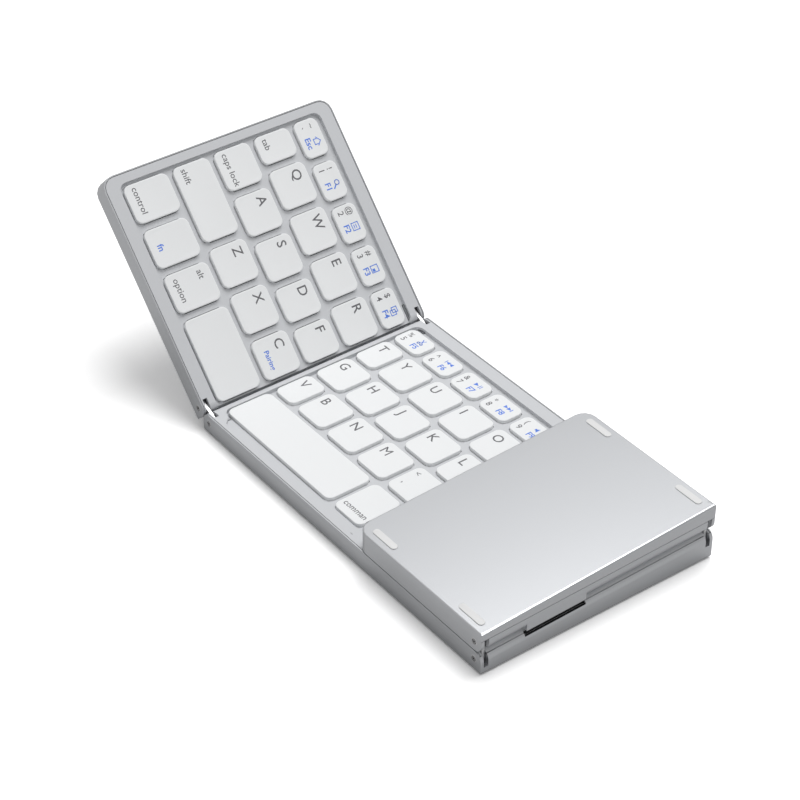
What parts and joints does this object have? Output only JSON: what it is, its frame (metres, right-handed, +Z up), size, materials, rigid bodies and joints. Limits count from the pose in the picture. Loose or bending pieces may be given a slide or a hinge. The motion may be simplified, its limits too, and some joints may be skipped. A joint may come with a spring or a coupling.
{
  "type": "folding keyboard",
  "caption": "Slim wireless keyboard in hinged panels: keyed middle on the desk, keyed left panel half open, touchpad panel folded shut on top",
  "frame": {"origin": "middle of the part's bounding box, at the level of the feet's undersides", "axes": "+X along the keyboard to its right end, +Y away from the typist, +Z up from the desk"},
  "size_m": [0.223, 0.1, 0.0765],
  "materials": {
    "silver_housing": "fine matt silver anodising",
    "silver_deck": "silver lacquer, fine satin grain",
    "hinge_steel": "brushed, riveted",
    "key_white": "fine matt moulding, printed legends",
    "contact_sheet": "satin film",
    "battery_film": "foil pouch",
    "board_green": "solder mask",
    "touch_surface": "smooth satin"
  },
  "bodies": {
    "middle_panel": {"middle_shell": "silver_housing", "middle_deck": "silver_deck", "middle_contact_sheet": "contact_sheet", "battery": "battery_film", "circuit_board": "board_green"},
    "left_links": {"left_front_link": "hinge_steel", "left_rear_link": "hinge_steel"},
    "left_panel": {"left_shell": "silver_housing", "left_deck": "silver_deck", "left_contact_sheet": "contact_sheet"},
    "right_links": {"right_front_link": "hinge_steel", "right_rear_link": "hinge_steel"},
    "right_panel": {"right_shell": "silver_housing", "right_deck": "silver_deck", "touchpad": "touch_surface"},
    "key_1": {"key_1": "key_white"},
    "key_2": {"key_2": "key_white"},
    "key_3": {"key_3": "key_white"},
    "key_4": {"key_4": "key_white"},
    "key_5": {"key_5": "key_white"},
    "key_6": {"key_6": "key_white"},
    "key_7": {"key_7": "key_white"},
    "key_8": {"key_8": "key_white"},
    "key_9": {"key_9": "key_white"},
    "key_a": {"key_a": "key_white"},
    "key_alt": {"key_alt": "key_white"},
    "key_b": {"key_b": "key_white"},
    "key_c": {"key_c": "key_white"},
    "key_caps": {"key_caps": "key_white"},
    "key_comma": {"key_comma": "key_white"},
    "key_command": {"key_command": "key_white"},
    "key_control": {"key_control": "key_white"},
    "key_d": {"key_d": "key_white"},
    "key_e": {"key_e": "key_white"},
    "key_escape": {"key_escape": "key_white"},
    "key_f": {"key_f": "key_white"},
    "key_fn": {"key_fn": "key_white"},
    "key_g": {"key_g": "key_white"},
    "key_h": {"key_h": "key_white"},
    "key_i": {"key_i": "key_white"},
    "key_j": {"key_j": "key_white"},
    "key_k": {"key_k": "key_white"},
    "key_l": {"key_l": "key_white"},
    "key_left_shift": {"key_left_shift": "key_white"},
    "key_left_space": {"key_left_space": "key_white"},
    "key_m": {"key_m": "key_white"},
    "key_n": {"key_n": "key_white"},
    "key_o": {"key_o": "key_white"},
    "key_q": {"key_q": "key_white"},
    "key_r": {"key_r": "key_white"},
    "key_s": {"key_s": "key_white"},
    "key_space": {"key_space": "key_white"},
    "key_t": {"key_t": "key_white"},
    "key_tab": {"key_tab": "key_white"},
    "key_u": {"key_u": "key_white"},
    "key_v": {"key_v": "key_white"},
    "key_w": {"key_w": "key_white"},
    "key_x": {"key_x": "key_white"},
    "key_y": {"key_y": "key_white"},
    "key_z": {"key_z": "key_white"}
  },
  "joints": [
    {"name": "left_link_swing", "type": "hinge", "parent": "middle_panel", "child": "left_links", "pos_m": [-0.04039, -0.04812, 0.00495], "axis": [0, -0.9996, -0.0296], "range_deg": [-66.5, 23.5]},
    {"name": "left_panel_swing", "type": "hinge", "parent": "left_links", "child": "left_panel", "pos_m": [-0.047, -0.0482, 0.00782], "axis": [0, -0.9996, -0.0296], "range_deg": [-66.5, 23.5]},
    {"name": "right_link_swing", "type": "hinge", "parent": "middle_panel", "child": "right_links", "pos_m": [0.10801, -0.04812, 0.00495], "axis": [0, 0.9996, 0.0296], "range_deg": [0, 90]},
    {"name": "right_panel_swing", "type": "hinge", "parent": "right_links", "child": "right_panel", "pos_m": [0.10801, -0.04833, 0.01214], "axis": [0, 0.9996, 0.0296], "range_deg": [0, 90]},
    {"name": "key_1_press", "type": "slide", "parent": "left_panel", "child": "key_1", "axis": [-0.7314, 0.0202, -0.6817], "range_m": [0, 0.0014], "stiffness_N_per_m": 390, "springref_m": -0.0005},
    {"name": "key_2_press", "type": "slide", "parent": "left_panel", "child": "key_2", "axis": [-0.7314, 0.0202, -0.6817], "range_m": [0, 0.0014], "stiffness_N_per_m": 390, "springref_m": -0.0005},
    {"name": "key_3_press", "type": "slide", "parent": "left_panel", "child": "key_3", "axis": [-0.7314, 0.0202, -0.6817], "range_m": [0, 0.0014], "stiffness_N_per_m": 390, "springref_m": -0.0005},
    {"name": "key_4_press", "type": "slide", "parent": "left_panel", "child": "key_4", "axis": [-0.7314, 0.0202, -0.6817], "range_m": [0, 0.0014], "stiffness_N_per_m": 390, "springref_m": -0.0005},
    {"name": "key_5_press", "type": "slide", "parent": "middle_panel", "child": "key_5", "axis": [0, 0.0296, -0.9996], "range_m": [0, 0.0014], "stiffness_N_per_m": 390, "springref_m": -0.0005},
    {"name": "key_6_press", "type": "slide", "parent": "middle_panel", "child": "key_6", "axis": [0, 0.0296, -0.9996], "range_m": [0, 0.0014], "stiffness_N_per_m": 390, "springref_m": -0.0005},
    {"name": "key_7_press", "type": "slide", "parent": "middle_panel", "child": "key_7", "axis": [0, 0.0296, -0.9996], "range_m": [0, 0.0014], "stiffness_N_per_m": 390, "springref_m": -0.0005},
    {"name": "key_8_press", "type": "slide", "parent": "middle_panel", "child": "key_8", "axis": [0, 0.0296, -0.9996], "range_m": [0, 0.0014], "stiffness_N_per_m": 390, "springref_m": -0.0005},
    {"name": "key_9_press", "type": "slide", "parent": "middle_panel", "child": "key_9", "axis": [0, 0.0296, -0.9996], "range_m": [0, 0.0014], "stiffness_N_per_m": 390, "springref_m": -0.0005},
    {"name": "key_a_press", "type": "slide", "parent": "left_panel", "child": "key_a", "axis": [-0.7314, 0.0202, -0.6817], "range_m": [0, 0.0014], "stiffness_N_per_m": 390, "springref_m": -0.0005},
    {"name": "key_alt_press", "type": "slide", "parent": "left_panel", "child": "key_alt", "axis": [-0.7314, 0.0202, -0.6817], "range_m": [0, 0.0014], "stiffness_N_per_m": 390, "springref_m": -0.0005},
    {"name": "key_b_press", "type": "slide", "parent": "middle_panel", "child": "key_b", "axis": [0, 0.0296, -0.9996], "range_m": [0, 0.0014], "stiffness_N_per_m": 390, "springref_m": -0.0005},
    {"name": "key_c_press", "type": "slide", "parent": "left_panel", "child": "key_c", "axis": [-0.7314, 0.0202, -0.6817], "range_m": [0, 0.0014], "stiffness_N_per_m": 390, "springref_m": -0.0005},
    {"name": "key_caps_press", "type": "slide", "parent": "left_panel", "child": "key_caps", "axis": [-0.7314, 0.0202, -0.6817], "range_m": [0, 0.0014], "stiffness_N_per_m": 390, "springref_m": -0.0005},
    {"name": "key_comma_press", "type": "slide", "parent": "middle_panel", "child": "key_comma", "axis": [0, 0.0296, -0.9996], "range_m": [0, 0.0014], "stiffness_N_per_m": 390, "springref_m": -0.0005},
    {"name": "key_command_press", "type": "slide", "parent": "middle_panel", "child": "key_command", "axis": [0, 0.0296, -0.9996], "range_m": [0, 0.0014], "stiffness_N_per_m": 390, "springref_m": -0.0005},
    {"name": "key_control_press", "type": "slide", "parent": "left_panel", "child": "key_control", "axis": [-0.7314, 0.0202, -0.6817], "range_m": [0, 0.0014], "stiffness_N_per_m": 390, "springref_m": -0.0005},
    {"name": "key_d_press", "type": "slide", "parent": "left_panel", "child": "key_d", "axis": [-0.7314, 0.0202, -0.6817], "range_m": [0, 0.0014], "stiffness_N_per_m": 390, "springref_m": -0.0005},
    {"name": "key_e_press", "type": "slide", "parent": "left_panel", "child": "key_e", "axis": [-0.7314, 0.0202, -0.6817], "range_m": [0, 0.0014], "stiffness_N_per_m": 390, "springref_m": -0.0005},
    {"name": "key_escape_press", "type": "slide", "parent": "left_panel", "child": "key_escape", "axis": [-0.7314, 0.0202, -0.6817], "range_m": [0, 0.0014], "stiffness_N_per_m": 390, "springref_m": -0.0005},
    {"name": "key_f_press", "type": "slide", "parent": "left_panel", "child": "key_f", "axis": [-0.7314, 0.0202, -0.6817], "range_m": [0, 0.0014], "stiffness_N_per_m": 390, "springref_m": -0.0005},
    {"name": "key_fn_press", "type": "slide", "parent": "left_panel", "child": "key_fn", "axis": [-0.7314, 0.0202, -0.6817], "range_m": [0, 0.0014], "stiffness_N_per_m": 390, "springref_m": -0.0005},
    {"name": "key_g_press", "type": "slide", "parent": "middle_panel", "child": "key_g", "axis": [0, 0.0296, -0.9996], "range_m": [0, 0.0014], "stiffness_N_per_m": 390, "springref_m": -0.0005},
    {"name": "key_h_press", "type": "slide", "parent": "middle_panel", "child": "key_h", "axis": [0, 0.0296, -0.9996], "range_m": [0, 0.0014], "stiffness_N_per_m": 390, "springref_m": -0.0005},
    {"name": "key_i_press", "type": "slide", "parent": "middle_panel", "child": "key_i", "axis": [0, 0.0296, -0.9996], "range_m": [0, 0.0014], "stiffness_N_per_m": 390, "springref_m": -0.0005},
    {"name": "key_j_press", "type": "slide", "parent": "middle_panel", "child": "key_j", "axis": [0, 0.0296, -0.9996], "range_m": [0, 0.0014], "stiffness_N_per_m": 390, "springref_m": -0.0005},
    {"name": "key_k_press", "type": "slide", "parent": "middle_panel", "child": "key_k", "axis": [0, 0.0296, -0.9996], "range_m": [0, 0.0014], "stiffness_N_per_m": 390, "springref_m": -0.0005},
    {"name": "key_l_press", "type": "slide", "parent": "middle_panel", "child": "key_l", "axis": [0, 0.0296, -0.9996], "range_m": [0, 0.0014], "stiffness_N_per_m": 390, "springref_m": -0.0005},
    {"name": "key_left_shift_press", "type": "slide", "parent": "left_panel", "child": "key_left_shift", "axis": [-0.7314, 0.0202, -0.6817], "range_m": [0, 0.0014], "stiffness_N_per_m": 390, "springref_m": -0.0005},
    {"name": "key_left_space_press", "type": "slide", "parent": "left_panel", "child": "key_left_space", "axis": [-0.7314, 0.0202, -0.6817], "range_m": [0, 0.0014], "stiffness_N_per_m": 390, "springref_m": -0.0005},
    {"name": "key_m_press", "type": "slide", "parent": "middle_panel", "child": "key_m", "axis": [0, 0.0296, -0.9996], "range_m": [0, 0.0014], "stiffness_N_per_m": 390, "springref_m": -0.0005},
    {"name": "key_n_press", "type": "slide", "parent": "middle_panel", "child": "key_n", "axis": [0, 0.0296, -0.9996], "range_m": [0, 0.0014], "stiffness_N_per_m": 390, "springref_m": -0.0005},
    {"name": "key_o_press", "type": "slide", "parent": "middle_panel", "child": "key_o", "axis": [0, 0.0296, -0.9996], "range_m": [0, 0.0014], "stiffness_N_per_m": 390, "springref_m": -0.0005},
    {"name": "key_q_press", "type": "slide", "parent": "left_panel", "child": "key_q", "axis": [-0.7314, 0.0202, -0.6817], "range_m": [0, 0.0014], "stiffness_N_per_m": 390, "springref_m": -0.0005},
    {"name": "key_r_press", "type": "slide", "parent": "left_panel", "child": "key_r", "axis": [-0.7314, 0.0202, -0.6817], "range_m": [0, 0.0014], "stiffness_N_per_m": 390, "springref_m": -0.0005},
    {"name": "key_s_press", "type": "slide", "parent": "left_panel", "child": "key_s", "axis": [-0.7314, 0.0202, -0.6817], "range_m": [0, 0.0014], "stiffness_N_per_m": 390, "springref_m": -0.0005},
    {"name": "key_space_press", "type": "slide", "parent": "middle_panel", "child": "key_space", "axis": [0, 0.0296, -0.9996], "range_m": [0, 0.0014], "stiffness_N_per_m": 390, "springref_m": -0.0005},
    {"name": "key_t_press", "type": "slide", "parent": "middle_panel", "child": "key_t", "axis": [0, 0.0296, -0.9996], "range_m": [0, 0.0014], "stiffness_N_per_m": 390, "springref_m": -0.0005},
    {"name": "key_tab_press", "type": "slide", "parent": "left_panel", "child": "key_tab", "axis": [-0.7314, 0.0202, -0.6817], "range_m": [0, 0.0014], "stiffness_N_per_m": 390, "springref_m": -0.0005},
    {"name": "key_u_press", "type": "slide", "parent": "middle_panel", "child": "key_u", "axis": [0, 0.0296, -0.9996], "range_m": [0, 0.0014], "stiffness_N_per_m": 390, "springref_m": -0.0005},
    {"name": "key_v_press", "type": "slide", "parent": "middle_panel", "child": "key_v", "axis": [0, 0.0296, -0.9996], "range_m": [0, 0.0014], "stiffness_N_per_m": 390, "springref_m": -0.0005},
    {"name": "key_w_press", "type": "slide", "parent": "left_panel", "child": "key_w", "axis": [-0.7314, 0.0202, -0.6817], "range_m": [0, 0.0014], "stiffness_N_per_m": 390, "springref_m": -0.0005},
    {"name": "key_x_press", "type": "slide", "parent": "left_panel", "child": "key_x", "axis": [-0.7314, 0.0202, -0.6817], "range_m": [0, 0.0014], "stiffness_N_per_m": 390, "springref_m": -0.0005},
    {"name": "key_y_press", "type": "slide", "parent": "middle_panel", "child": "key_y", "axis": [0, 0.0296, -0.9996], "range_m": [0, 0.0014], "stiffness_N_per_m": 390, "springref_m": -0.0005},
    {"name": "key_z_press", "type": "slide", "parent": "left_panel", "child": "key_z", "axis": [-0.7314, 0.0202, -0.6817], "range_m": [0, 0.0014], "stiffness_N_per_m": 390, "springref_m": -0.0005}
  ],
  "couplings": [
    {"joint": "left_link_swing", "follows": "left_panel_swing", "ratio": 1},
    {"joint": "right_link_swing", "follows": "right_panel_swing", "ratio": 1}
  ]
}
